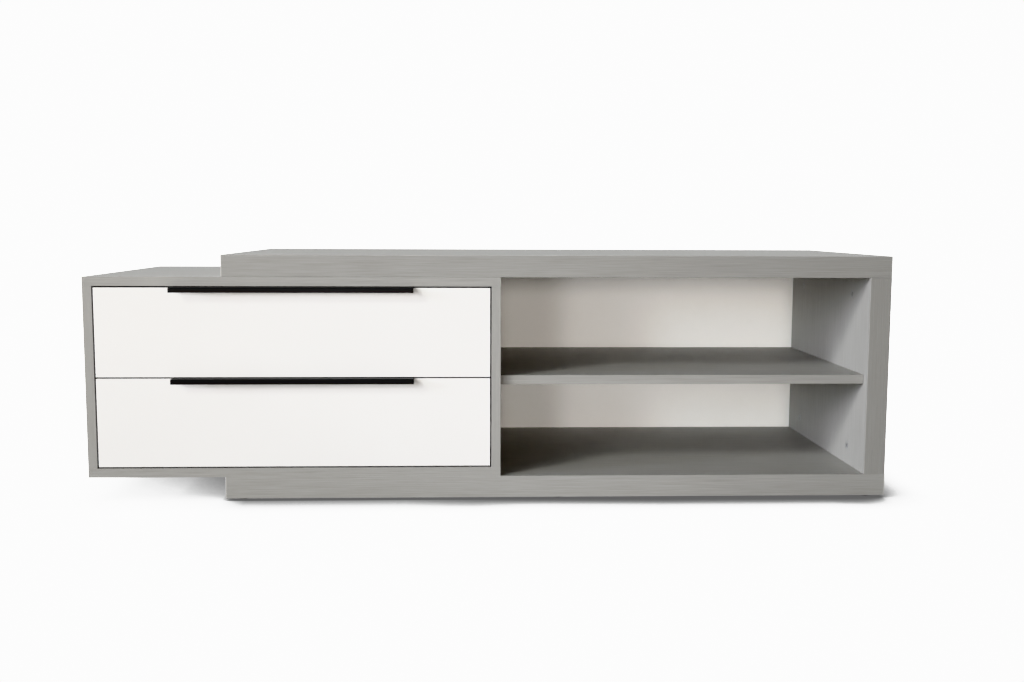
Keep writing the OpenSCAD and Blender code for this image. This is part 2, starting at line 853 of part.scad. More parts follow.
// Outline of the edge profile, with Y 0 on the drawer front and Z 0 on its upper edge:
// flange behind the front, plate over its edge, round nose and grip lip with a round rim
module handle_outline() {
    inner_r = nose_r - handle_t;
    nose_y = nose_r - handle_reach;
    nose_z = handle_t - nose_r;
    rim_z = handle_t - lip_h + handle_t / 2;
    translate([front_t, -flange_h]) square([handle_t, flange_h + handle_t]);
    translate([nose_y, 0]) square([front_t + handle_t - nose_y, handle_t]);
    intersection() {
        translate([nose_y, nose_z]) difference() {
            circle(nose_r);
            circle(inner_r);
        }
        translate([-handle_reach, nose_z]) square(nose_r);
    }
    translate([-handle_reach, rim_z]) square([handle_t, nose_z - rim_z]);
    translate([handle_t / 2 - handle_reach, rim_z]) circle(d = handle_t);
}

module handle(level) {
    color(black_metal) difference() {
        translate([front_mid_x - handle_l / 2, front_y, front_z(level) + front_h])
            along_x(handle_l) handle_outline();
        at_handle_screws(level)
            translate([0, 0, -handle_t - over])
                cylinder(h = handle_t + 2 * over, d = small_screw_d + 2 * fit);
    }
}

module handle_screws(level) {
    color(steel) at_handle_screws(level)
        round_head_screw(small_screw_d, small_head_d, round_head_h, handle_screw_l);
}

module front_screws(level) {
    color(steel) at_front_screws(level) countersunk_screw(screw_d, screw_head_d, front_screw_l);
}

// Drawer boards

// Groove for the drawer bottom, all round the inside of the drawer
module drawer_bottom_space(level) {
    z0 = drawer_z(level) + bottom_rise - groove_play;
    z1 = z0 + drawer_bottom_t + 2 * groove_play;
    block([drawer_in_x0 - groove_d, drawer_y0 + drawer_board_t - groove_d, z0],
          [drawer_in_x1 + groove_d, drawer_y1 - drawer_board_t + groove_d, z1]);
}

// Screws through the drawer sides into the ends of the inner front and the back
module at_corner_screws(level, side) {
    low = rail_rise + cabinet_v + case_screw_gap;
    high = drawer_h - case_screw_drop;
    for (y = [drawer_y0 + drawer_board_t / 2, drawer_y1 - drawer_board_t / 2], z = [low, high])
        translate([side == RIGHT ? drawer_x1 : drawer_x0, y, drawer_z(level) + z])
            mirror([side == RIGHT ? 1 : 0, 0, 0])
                rotate([0, -90, 0])
                    children();
}

module corner_screw(grow = 0) {
    countersunk_screw(screw_d, screw_head_d, case_screw_l, grow);
}

module corner_screw_bores(level) {
    for (side = [LEFT, RIGHT]) at_corner_screws(level, side) corner_screw(fit);
}

module drawer_side(level, side) {
    x = side == RIGHT ? drawer_in_x1 : drawer_x0;
    z = drawer_z(level);
    color(white_board) difference() {
        block([x, drawer_y0, z], [x + drawer_board_t, drawer_y1, z + drawer_h]);
        drawer_bottom_space(level);
        corner_screw_bores(level);
        drawer_rail_screw_set(level, side, fit);
    }
}

module inner_front(level) {
    z = drawer_z(level);
    color(white_board) difference() {
        block([drawer_in_x0, drawer_y0, z], [drawer_in_x1, drawer_y0 + drawer_board_t, z + drawer_h]);
        drawer_bottom_space(level);
        corner_screw_bores(level);
        at_front_screws(level) countersunk_screw(screw_d, screw_head_d, front_screw_l, fit);
    }
}

module drawer_back(level) {
    z = drawer_z(level);
    color(white_board) difference() {
        block([drawer_in_x0, drawer_y1 - drawer_board_t, z], [drawer_in_x1, drawer_y1, z + drawer_h]);
        drawer_bottom_space(level);
        corner_screw_bores(level);
    }
}

module drawer_bottom(level) {
    reach = groove_d - groove_play;
    z = drawer_z(level) + bottom_rise;
    color(white_board)
        block([drawer_in_x0 - reach, drawer_y0 + drawer_board_t - reach, z],
              [drawer_in_x1 + reach, drawer_y1 - drawer_board_t + reach, z + drawer_bottom_t]);
}

module corner_screws(level) {
    color(steel) for (side = [LEFT, RIGHT]) at_corner_screws(level, side) corner_screw();
}

top_slab();
bottom_slab();
right_side_slab();
box_top();
box_bottom();
box_left_side();
box_right_side();
box_back_panel();
bay_back_panel();
bay_shelf();
shelf_pins();
glides();
frame_cam_locks();
frame_cam_bolts();
frame_dowels();
box_cam_locks();
box_cam_bolts();
box_dowels();
joining_screws();
cabinet_rail(UPPER, LEFT);  // upper_left_cabinet_rail
cabinet_rail(UPPER, RIGHT);  // upper_right_cabinet_rail
cabinet_rail(LOWER, LEFT);  // lower_left_cabinet_rail
cabinet_rail(LOWER, RIGHT);  // lower_right_cabinet_rail
cabinet_rail_screws();
middle_rail(UPPER, LEFT);  // upper_left_middle_rail
middle_rail(UPPER, RIGHT);  // upper_right_middle_rail
ball_cages(UPPER);  // upper_ball_cages
balls(UPPER);  // upper_balls
middle_rail(LOWER, LEFT);  // lower_left_middle_rail
middle_rail(LOWER, RIGHT);  // lower_right_middle_rail
ball_cages(LOWER);  // lower_ball_cages
balls(LOWER);  // lower_balls
drawer_front(UPPER);  // upper_drawer_front
handle(UPPER);  // upper_handle
handle_screws(UPPER);  // upper_handle_screws
inner_front(UPPER);  // upper_inner_front
drawer_side(UPPER, LEFT);  // upper_left_drawer_side
drawer_side(UPPER, RIGHT);  // upper_right_drawer_side
drawer_back(UPPER);  // upper_drawer_back
drawer_bottom(UPPER);  // upper_drawer_bottom
corner_screws(UPPER);  // upper_corner_screws
front_screws(UPPER);  // upper_front_screws
drawer_rail(UPPER, LEFT);  // upper_left_drawer_rail
drawer_rail(UPPER, RIGHT);  // upper_right_drawer_rail
drawer_rail_screws(UPPER);  // upper_drawer_rail_screws
release_levers(UPPER);  // upper_release_levers
drawer_front(LOWER);  // lower_drawer_front
handle(LOWER);  // lower_handle
handle_screws(LOWER);  // lower_handle_screws
inner_front(LOWER);  // lower_inner_front
drawer_side(LOWER, LEFT);  // lower_left_drawer_side
drawer_side(LOWER, RIGHT);  // lower_right_drawer_side
drawer_back(LOWER);  // lower_drawer_back
drawer_bottom(LOWER);  // lower_drawer_bottom
corner_screws(LOWER);  // lower_corner_screws
front_screws(LOWER);  // lower_front_screws
drawer_rail(LOWER, LEFT);  // lower_left_drawer_rail
drawer_rail(LOWER, RIGHT);  // lower_right_drawer_rail
drawer_rail_screws(LOWER);  // lower_drawer_rail_screws
release_levers(LOWER);  // lower_release_levers
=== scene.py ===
"""Looks of a low television cabinet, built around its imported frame.

Lengths are metres in the cabinet's own frame: +X along its width, -Y out of its front, +Z up.
"""
import logging
import math
from dataclasses import dataclass
from enum import Enum
from functools import cache

import bmesh
import bpy
from mathutils import Matrix, Vector


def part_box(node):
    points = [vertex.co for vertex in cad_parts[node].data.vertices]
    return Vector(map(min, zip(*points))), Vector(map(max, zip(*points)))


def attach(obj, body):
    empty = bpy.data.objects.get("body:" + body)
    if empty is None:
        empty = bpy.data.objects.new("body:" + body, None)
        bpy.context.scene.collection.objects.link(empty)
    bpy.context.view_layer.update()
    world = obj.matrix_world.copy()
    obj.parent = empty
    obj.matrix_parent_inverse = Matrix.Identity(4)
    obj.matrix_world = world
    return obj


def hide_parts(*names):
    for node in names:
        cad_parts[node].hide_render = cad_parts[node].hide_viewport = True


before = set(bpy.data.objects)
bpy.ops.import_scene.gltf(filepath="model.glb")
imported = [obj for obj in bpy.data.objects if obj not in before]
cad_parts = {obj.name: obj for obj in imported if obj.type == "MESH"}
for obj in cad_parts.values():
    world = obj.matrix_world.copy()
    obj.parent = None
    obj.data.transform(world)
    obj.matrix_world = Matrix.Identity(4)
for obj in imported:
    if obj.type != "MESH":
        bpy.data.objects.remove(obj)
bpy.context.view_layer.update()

LOG = logging.getLogger("cabinet")

# Faces that meet at a smaller angle than this shade as one curve
SMOOTH_ANGLE = math.radians(35)
# Triangles of one flat face differ by less than this angle
FLAT_ANGLE = math.radians(0.5)
# Points closer than this are one point
SAME_POINT = 1e-6
# A vertex this close to a plane lies on it
ON_PLANE = 1e-5
# Name of the face attribute that marks rounded arrises, where a finish wears first and where the grey
# decor also gets a painted highlight
ARRIS = "arris"

# Part of a noise's values that is stretched over the whole range of a mark, pebble, cloud or wear
STREAK_RANGE = (0.32, 0.68)
PEBBLE_RANGE = (0.30, 0.70)
WEAR_RANGE = (0.35, 0.70)
# How much of a tone the small marks make, next to the clouds
STREAK_SHARE = 0.60
PEBBLE_SHARE = 0.35
# Roughness of the noise that draws the streaks
STREAK_ROUGHNESS = 0.62
# Share of the arris tone where an arris is least rubbed, next to 1 where it is most: rubbed wear, and on
# the grey decor a painted highlight along every arris
LEAST_WEAR_AND_HIGHLIGHT = 0.35

Colour = tuple[float, float, float]
Object = bpy.types.Object
Socket = bpy.types.NodeSocket


class Side(Enum):
    """Outer side of a board: the axis that it faces along, and its sense."""

    LEFT = (0, -1)
    RIGHT = (0, 1)
    FRONT = (1, -1)
    BACK = (1, 1)
    BOTTOM = (2, -1)
    TOP = (2, 1)


# The ends of an upright board butt against the boards above and below it
BOARD_ENDS = (Side.BOTTOM, Side.TOP)


class Grain(Enum):
    """Direction that the marks of a finish run in, as the turn that lays it along X."""

    ALONG_X = (0.0, 0.0, 0.0)
    ALONG_Y = (0.0, 0.0, -math.pi / 2)
    ALONG_Z = (0.0, math.pi / 2, 0.0)


class Head(Enum):
    """Shape of a screw's head."""

    COUNTERSUNK = "countersunk"
    PAN = "pan"


class Graph:
    """Adds nodes to one tree and links them."""

    def __init__(self, tree: bpy.types.NodeTree) -> None:
        """Starts with the tree emptied."""
        tree.nodes.clear()
        self.tree = tree

    def add(self, kind: str, inputs: dict | None = None, **settings) -> bpy.types.Node:
        """Adds a node.

        Args:
            kind: Type of the node, without the word that all shader nodes share.
            inputs: A value, or the socket to link from, for each named or numbered input.
            settings: Properties of the node.

        Returns:
            The new node.
        """
        kind = kind if kind.startswith("NodeGroup") else "ShaderNode" + kind
        node = self.tree.nodes.new(kind)
        for name, value in settings.items():
            setattr(node, name, value)
        for name, value in (inputs or {}).items():
            if isinstance(value, Socket):
                self.tree.links.new(value, node.inputs[name])
            else:
                node.inputs[name].default_value = value
        return node

    def divided(self, vector: Socket, size: Socket) -> Socket:
        """Divides a place by the size of a mark, so that one mark is one unit long."""
        return self.add("VectorMath", {0: vector, 1: size}, operation="DIVIDE").outputs[0]

    def noise(self, vector: Socket, detail: float, roughness: float = 0.5) -> Socket:
        """Adds a noise whose marks are one unit long, and returns its value."""
        inputs = {"Vector": vector, "Scale": 1.0, "Detail": detail, "Roughness": roughness}
        return self.add("TexNoise", inputs).outputs["Fac"]

    def spread(self, value: Socket, low: float, high: float) -> Socket:
        """Stretches the values between low and high to 0 and 1, and cuts off the rest."""
        inputs = {"Value": value, "From Min": low, "From Max": high}
        return self.add("MapRange", inputs, clamp=True).outputs["Result"]

    def between(self, value: Socket, low: float, high: float) -> Socket:
        """Maps 0 and 1 to low and high."""
        inputs = {"Value": value, "To Min": low, "To Max": high}
        return self.add("MapRange", inputs, clamp=True).outputs["Result"]

    def math(self, operation: str, first: Socket, second: Socket | float) -> Socket:
        """Combines two values with the named operation."""
        return self.add("Math", {0: first, 1: second}, operation=operation).outputs[0]

    def blend(self, first: Socket, second: Socket, share: float) -> Socket:
        """Adds up two values, of which the first has the given share."""
        part = self.math("MULTIPLY", first, share)
        return self.math("ADD", part, self.math("MULTIPLY", second, 1.0 - share))

    def mix(self, factor: Socket, first: Colour | Socket, second: Colour | Socket) -> Socket:
        """Mixes two colours, and returns the mixed one."""
        ends = [c if isinstance(c, Socket) else (*c, 1.0) for c in (first, second)]
        inputs = {"Factor": factor, 6: ends[0], 7: ends[1]}
        return self.add("Mix", inputs, data_type="RGBA").outputs[2]

    def group(self, tree: bpy.types.NodeTree, inputs: dict) -> bpy.types.Node:
        """Places a shared effect in this tree with its own values."""
        node = self.add("Group", node_tree=tree)
        for name, value in inputs.items():
            if isinstance(value, Socket):
                self.tree.links.new(value, node.inputs[name])
            else:
                node.inputs[name].default_value = value
        return node


def effect(name: str, inputs: dict[str, str], outputs: list[str]) -> tuple[Graph, dict, bpy.types.Node]:
    """Starts a node group that several materials share.

    Args:
        name: Name of the effect.
        inputs: Socket type of each input.
        outputs: Names of the values that it puts out.

    Returns:
        Its graph, its inputs by name, and the node that takes its outputs.
    """
    tree = bpy.data.node_groups.new(name, "ShaderNodeTree")
    graph = Graph(tree)
    for label, kind in inputs.items():
        tree.interface.new_socket(label, in_out="INPUT", socket_type=kind)
    for label in outputs:
        tree.interface.new_socket(label, in_out="OUTPUT", socket_type="NodeSocketFloat")
    entry = graph.add("NodeGroupInput")
    return graph, {label: entry.outputs[label] for label in inputs}, graph.add("NodeGroupOutput")


@cache
def streaks() -> bpy.types.NodeTree:
    """Builds the effect of long thin marks along X, with soft clouds between them."""
    kinds = {"Vector": "NodeSocketVector", "Mark": "NodeSocketVector", "Cloud": "NodeSocketVector"}
    graph, given, result = effect("Streaks", kinds, ["Tone", "Cloud", "Relief"])
    mark = graph.noise(graph.divided(given["Vector"], given["Mark"]), 3.0, STREAK_ROUGHNESS)
    cloud = graph.noise(graph.divided(given["Vector"], given["Cloud"]), 2.0)
    relief = graph.spread(mark, *STREAK_RANGE)
    tone = graph.blend(relief, cloud, STREAK_SHARE)
    for label, value in (("Tone", tone), ("Cloud", cloud), ("Relief", relief)):
        graph.tree.links.new(value, result.inputs[label])
    return graph.tree


@cache
def pebbles() -> bpy.types.NodeTree:
    """Builds the effect of a lacquered, moulded or cast face: fine relief under faint clouds."""
    kinds = {"Vector": "NodeSocketVector", "Pebble": "NodeSocketFloat", "Cloud": "NodeSocketFloat"}
    graph, given, result = effect("Pebbles", kinds, ["Tone", "Cloud", "Relief"])
    pebble = graph.noise(graph.divided(given["Vector"], given["Pebble"]), 2.0)
    relief = graph.spread(pebble, *PEBBLE_RANGE)
    cloud = graph.spread(graph.noise(graph.divided(given["Vector"], given["Cloud"]), 3.0), *PEBBLE_RANGE)
    tone = graph.blend(relief, cloud, PEBBLE_SHARE)
    for label, value in (("Tone", tone), ("Cloud", cloud), ("Relief", relief)):
        graph.tree.links.new(value, result.inputs[label])
    return graph.tree


@cache
def edge_wear_and_highlight() -> bpy.types.NodeTree:
    """Builds the effect of patchy rubbing on the rounded arrises, which on the grey decor is also a
    painted highlight along them.
    """
    kinds = {"Vector": "NodeSocketVector", "Patch": "NodeSocketFloat"}
    graph, given, result = effect("Edge wear and highlight", kinds, ["Worn"])
    arris = graph.add("Attribute", attribute_name=ARRIS).outputs["Fac"]
    rubbed = graph.noise(graph.divided(given["Vector"], given["Patch"]), 4.0)
    patch = graph.between(graph.spread(rubbed, *WEAR_RANGE), LEAST_WEAR_AND_HIGHLIGHT, 1.0)
    graph.tree.links.new(graph.math("MULTIPLY", arris, patch), result.inputs["Worn"])
    return graph.tree


@dataclass(frozen=True)
class Finish:
    """What every finish has: two tones, a lighter tone for its arrises (rubbed wear, and on the grey decor
    also a painted highlight), its gloss and the depth of its relief.
    """

    name: str
    dark: Colour
    light: Colour
    worn: Colour
    roughness: tuple[float, float]
    relief: float
    metallic: float = 0.0
    specular: float = 0.5
    grain: Grain = Grain.ALONG_X
    wear_patch: float = 0.03

    @cache
    def material(self) -> bpy.types.Material:
        """Builds the material of this finish, once for all the pieces that have it."""
        made = bpy.data.materials.new(self.name)
        made.use_nodes = True
        made.diffuse_color = (*self.light, 1.0)
        self.shade(Graph(made.node_tree))
        return made

    def shade(self, graph: Graph) -> None:
        """Links tone, gloss and relief of the finish to its shader."""
        place = graph.add("TexCoord").outputs["Object"]
        turned = graph.add("Mapping", {"Vector": place, "Rotation": self.grain.value}).outputs[0]
        marks = self.marks(graph, turned)
        # On the rounded arrises the tone goes over to the arris tone: rubbed wear, and on the grey decor
        # also a painted highlight
        worn = graph.group(edge_wear_and_highlight(), {"Vector": place, "Patch": self.wear_patch})
        tone = graph.mix(marks.outputs["Tone"], self.dark, self.light)
        colour = graph.mix(worn.outputs["Worn"], tone, self.worn)
        rough = graph.between(marks.outputs["Cloud"], *self.roughness)
        bump = graph.add("Bump", {"Height": marks.outputs["Relief"], "Distance": self.relief})
        inputs = {
            "Base Color": colour,
            "Roughness": rough,
            "Metallic": self.metallic,
            "Specular IOR Level": self.specular,
            "Normal": bump.outputs[0],
        }
        shader = graph.add("BsdfPrincipled", inputs)
        graph.add("OutputMaterial", {"Surface": shader.outputs[0]})

    def marks(self, graph: Graph, place: Socket) -> bpy.types.Node:
        """Adds the pattern of the finish, and returns its node."""
        raise NotImplementedError


@dataclass(frozen=True)
class Streaked(Finish):
    """Finish with marks in one direction, such as a decor, brushed metal or rolled strip."""

    mark: tuple[float, float] = (0.09, 0.0011)
    cloud: tuple[float, float] = (0.5, 0.06)

    def marks(self, graph: Graph, place: Socket) -> bpy.types.Node:
        """Adds streaks that are mark[0] long and mark[1] wide, and returns their node."""
        mark = (self.mark[0], self.mark[1], self.mark[1])
        cloud = (self.cloud[0], self.cloud[1], self.cloud[1])
        return graph.group(streaks(), {"Vector": place, "Mark": mark, "Cloud": cloud})


@dataclass(frozen=True)
class Pebbled(Finish):
    """Finish with an even texture, such as lacquer, moulded plastic or a casting."""

    pebble: float = 0.0012
    cloud: float = 0.15

    def marks(self, graph: Graph, place: Socket) -> bpy.types.Node:
        """Adds a texture of the finish's pebble size, and returns its node."""
        return graph.group(pebbles(), {"Vector": place, "Pebble": self.pebble, "Cloud": self.cloud})


# The grey decor: its middle tone, half the difference of its two tones, and the lighter tone of its
# arrises, which is rubbed wear and painted highlight
GREY_MIDDLE = (0.347, 0.3455, 0.3365)
GREY_SWING = (0.067, 0.0705, 0.0725)
GREY_WEAR_AND_HIGHLIGHT = (0.470, 0.470, 0.462)
# Lightness of its edge bands next to its faces. The front tones are painted shade: the same decor is
# darker on the front bands than on the lit tops, and darker still on the top slab's and the right side's
# fronts. The end bands are a little darker than the faces.
FRONT_SHADE_TONE = 0.74
SLAB_FRONT_SHADE_TONE = 0.68
SIDE_FRONT_SHADE_TONE = 0.66
END_TONE = 0.94
# Strength of its streaks on upright boards next to lying ones
UPRIGHT_CONTRAST = 0.8
UPRIGHT_EDGE_CONTRAST = 0.5


def grey_decor(grain: Grain, part: str, tone: float, contrast: float = 1.0) -> Streaked:
    """Returns the matt grey decor.

    Args:
        grain: Direction of its streaks.
        part: What it covers, faces or edges.
        tone: Lightness, where 1 is that of the faces; a lower tone on a front band is painted shade.
        contrast: Strength of the streaks, where 1 is that of the lying boards' faces.

    Returns:
        The finish.
    """
    dark, light = (
        tuple((middle + sense * swing * contrast) * tone for middle, swing in zip(GREY_MIDDLE, GREY_SWING))
        for sense in (-1, 1)
    )
    return Streaked(
        name=f"grey decor on {part} {grain.name.lower()}",
        dark=dark,
        light=light,
        worn=tuple(channel * tone for channel in GREY_WEAR_AND_HIGHLIGHT),
        roughness=(0.48, 0.62),
        relief=0.00008,
        specular=0.35,
        grain=grain,
    )


GREY_X = grey_decor(Grain.ALONG_X, "faces", 1.0)
GREY_Z = grey_decor(Grain.ALONG_Z, "faces", 1.0, UPRIGHT_CONTRAST)
# Front bands: the same decor made darker as painted shade, on the top slab and the right side darker still
SHADED_FRONT_X = grey_decor(Grain.ALONG_X, "edges", FRONT_SHADE_TONE)
SHADED_FRONT_Z = grey_decor(Grain.ALONG_Z, "edges", FRONT_SHADE_TONE, UPRIGHT_EDGE_CONTRAST)
END_Y = grey_decor(Grain.ALONG_Y, "ends", END_TONE)
SHADED_SLAB_FRONT_X = grey_decor(Grain.ALONG_X, "shade-darkened slab edges", SLAB_FRONT_SHADE_TONE)
SHADED_SIDE_FRONT_Z = grey_decor(Grain.ALONG_Z, "shade-darkened slab edges", SIDE_FRONT_SHADE_TONE, UPRIGHT_EDGE_CONTRAST)
WHITE_FRONT = Pebbled(
    name="white matt front",
    dark=(0.682, 0.683, 0.688),
    light=(0.733, 0.734, 0.739),
    worn=(0.760, 0.761, 0.766),
    roughness=(0.40, 0.50),
    relief=0.00003,
    specular=0.4,
    pebble=0.0018,
    cloud=0.22,
)
WHITE_BOARD = Pebbled(
    name="white melamine board",
    dark=(0.780, 0.780, 0.765),
    light=(0.830, 0.830, 0.815),
    worn=(0.860, 0.858, 0.845),
    roughness=(0.42, 0.55),
    relief=0.00003,
    pebble=0.0008,
    cloud=0.12,
)
WHITE_PANEL = Pebbled(
    name="white lacquered fibreboard",
    dark=(0.900, 0.893, 0.878),
    light=(0.945, 0.939, 0.927),
    worn=(0.950, 0.945, 0.935),
    roughness=(0.45, 0.60),
    relief=0.00005,
    pebble=0.0025,
    cloud=0.10,
)
BLACK_PROFILE = Streaked(
    name="black anodised aluminium",
    dark=(0.0040, 0.0040, 0.0044),
    light=(0.0080, 0.0080, 0.0088),
    worn=(0.0250, 0.0250, 0.0260),
    roughness=(0.34, 0.46),
    relief=0.000008,
    specular=0.10,
    mark=(0.05, 0.0004),
    cloud=(0.20, 0.02),
)
ROLLED_ZINC = Streaked(
    name="zinc plated rolled steel",
    dark=(0.440, 0.450, 0.465),
    light=(0.620, 0.628, 0.640),
    worn=(0.700, 0.700, 0.700),
    roughness=(0.30, 0.46),
    relief=0.00001,
    metallic=1.0,
    grain=Grain.ALONG_Y,
    mark=(0.08, 0.0006),
    cloud=(0.06, 0.008),
)
# Painted shade: the same zinc as the other rails, darker and rougher, so that the cabinet rails' front
# ends stay dark in the gaps beside the fronts
SHADE_DARKENED_ZINC = Streaked(
    name="dull zinc plated rolled steel",
    dark=(0.270, 0.276, 0.286),
    light=(0.360, 0.366, 0.374),
    worn=(0.420, 0.420, 0.420),
    roughness=(0.62, 0.74),
    relief=0.00001,
    metallic=1.0,
    grain=Grain.ALONG_Y,
    mark=(0.08, 0.0006),
    cloud=(0.06, 0.008),
)
BALL_STEEL = Pebbled(
    name="polished bearing steel",
    dark=(0.660, 0.665, 0.675),
    light=(0.760, 0.765, 0.775),
    worn=(0.800, 0.800, 0.800),
    roughness=(0.08, 0.18),
    relief=0.000002,
    metallic=1.0,
    pebble=0.0009,
    cloud=0.004,
)
SCREW_ZINC = Pebbled(
    name="bright zinc screws",
    dark=(0.520, 0.530, 0.550),
    light=(0.690, 0.695, 0.705),
    worn=(0.780, 0.780, 0.780),
    roughness=(0.22, 0.38),
    relief=0.00001,
    metallic=1.0,
    pebble=0.0006,
    cloud=0.006,
)
PIN_NICKEL = Pebbled(
    name="nickel plated steel",
    dark=(0.600, 0.580, 0.545),
    light=(0.710, 0.690, 0.655),
    worn=(0.780, 0.765, 0.735),
    roughness=(0.16, 0.28),
    relief=0.000006,
    metallic=1.0,
    pebble=0.0007,
    cloud=0.005,
)
CAST_ZINC = Pebbled(
    name="matt zinc casting",
    dark=(0.340, 0.344, 0.350),
    light=(0.450, 0.454, 0.460),
    worn=(0.520, 0.520, 0.525),
    roughness=(0.55, 0.70),
    relief=0.00004,
    metallic=0.5,
    pebble=0.0007,
    cloud=0.006,
)
PLAIN_BEECH = Streaked(
    name="plain beech",
    dark=(0.380, 0.235, 0.120),
    light=(0.520, 0.350, 0.195),
    worn=(0.580, 0.420, 0.260),
    roughness=(0.55, 0.70),
    relief=0.00005,
    grain=Grain.ALONG_Z,
    mark=(0.010, 0.0004),
    cloud=(0.03, 0.004),
)
DARK_PLASTIC = Pebbled(
    name="dark moulded plastic",
    dark=(0.0120, 0.0120, 0.0130),
    light=(0.0220, 0.0220, 0.0235),
    worn=(0.0450, 0.0450, 0.0460),
    roughness=(0.45, 0.60),
    relief=0.00004,
    pebble=0.0005,
    cloud=0.01,
)


def node_mesh(node: str) -> bmesh.types.BMesh:
    """Copies a CAD node's mesh, with its loose triangles merged and its flat faces whole.

    Args:
        node: Name of the CAD node.

    Returns:
        The copy.
    """
    copy = bmesh.new()
    copy.from_mesh(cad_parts[node].data)
    bmesh.ops.remove_doubles(copy, verts=copy.verts, dist=SAME_POINT)
    bmesh.ops.dissolve_limit(copy, angle_limit=FLAT_ANGLE, verts=copy.verts, edges=copy.edges)
    return copy


def make_piece(
    mesh: bmesh.types.BMesh,
    name: str,
    body: str,
    finish: Finish,
    stands_for: tuple[str, ...] = (),
) -> Object:
    """Makes a finished piece that rides on a body.

    Args:
        mesh: Shape of the piece in its place, which is used up.
        name: Name of the piece.
        body: Body that it moves with.
        finish: Finish of all its faces.
        stands_for: CAD nodes that it replaces.

    Returns:
        The piece.
    """
    for face in mesh.faces:
        face.smooth = True
    data = bpy.data.meshes.new(name)
    mesh.to_mesh(data)
    mesh.free()
    data.set_sharp_from_angle(angle=SMOOTH_ANGLE)
    data.materials.append(finish.material())
    piece = bpy.data.objects.new(name, data)
    bpy.context.scene.collection.objects.link(piece)
    weighted = piece.modifiers.new("Weighted normals", "WEIGHTED_NORMAL")
    weighted.keep_sharp = True
    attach(piece, body)
    if stands_for:
        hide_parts(*stands_for)
    LOG.info("%s: %d faces on %s", name, len(data.polygons), body)
    return piece


def dress_node(node: str, finish: Finish) -> None:
    """Gives a CAD node that stays as it is its finish."""
    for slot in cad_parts[node].material_slots:
        slot.material = finish.material()
    LOG.info("%s: %s", node, finish.name)


@dataclass
class Board:
    """Board cut from its CAD node, with each edge band as a piece of its own.

    Its outer arrises are rounded, apart from those of the butted sides, which lie against a
    neighbouring board.
    """

    node: str
    body: str
    slot: str
    face: Finish
    bands: dict[Side, Finish]
    band_t: float
    arris_r: float
    butted: tuple[Side, ...] = ()
    arris_segments: int = 3

    def build(self) -> list[Object]:
        """Cuts the bands off, rounds every outer arris and makes the pieces.

        Returns:
            The board and its bands.
        """
        core = node_mesh(self.node)
        core.faces.layers.float.new(ARRIS)
        cut_off = []
        for side in self.bands:
            band = core.copy()
            self.cut(band, side, keep_band=True)
            self.cut(core, side, keep_band=False)
            cut_off.append((band, side))
        self.round_arrises(core)
        pieces = [make_piece(core, f"{self.node}_board", self.body, self.face, (self.node,))]
        for band, side in cut_off:
            self.round_arrises(band)
            name = f"{self.node}_{side.name.lower()}_band"
            pieces.append(make_piece(band, name, self.body, self.bands[side]))
        return pieces

    def cut(self, mesh: bmesh.types.BMesh, side: Side, keep_band: bool) -> None:
        """Cuts a mesh one band's thickness behind a side and closes it.

        Args:
            mesh: Mesh to cut.
            side: Side that the band lies on.
            keep_band: Keep the band, and otherwise the rest of the board.
        """
        axis, sense = side.value
        low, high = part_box(self.node)
        outwards = Vector([sense if i == axis else 0 for i in range(3)])
        outer = high if sense > 0 else low
        cut = bmesh.ops.bisect_plane(
            mesh,
            geom=[*mesh.verts, *mesh.edges, *mesh.faces],
            dist=SAME_POINT,
            plane_co=outer - outwards * self.band_t,
            plane_no=outwards,
            clear_inner=keep_band,
            clear_outer=not keep_band,
        )
        rim = [part for part in cut["geom_cut"] if isinstance(part, bmesh.types.BMEdge)]
        bmesh.ops.holes_fill(mesh, edges=rim, sides=0)
        bmesh.ops.recalc_face_normals(mesh, faces=mesh.faces)

    def round_arrises(self, mesh: bmesh.types.BMesh) -> None:
        """Rounds the edges where two outer sides meet that no neighbour covers."""
        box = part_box(self.node)
        places = {side: box[side.value[1] > 0][side.value[0]] for side in Side}
        butted = set(self.butted)

        def outer_sides(edge: bmesh.types.BMEdge) -> set[Side]:
            """Returns the outer sides of the whole board that both ends of an edge lie on."""
            ends = [vertex.co for vertex in edge.verts]
            return {
                side
                for side, place in places.items()
                if all(abs(end[side.value[0]] - place) < ON_PLANE for end in ends)
            }

        arrises = []
        for edge in mesh.edges:
            sides = outer_sides(edge)
            if len(sides) >= 2 and not sides & butted:
                arrises.append(edge)
        rounded = bmesh.ops.bevel(
            mesh,
            geom=arrises,
            offset=self.arris_r,
            offset_type="OFFSET",
            segments=self.arris_segments,
            profile=0.5,
            affect="EDGES",
            clamp_overlap=True,
            material=-1,
        )
        layer = mesh.faces.layers.float[ARRIS]
        for face in rounded["faces"]:
            face[layer] = 1.0


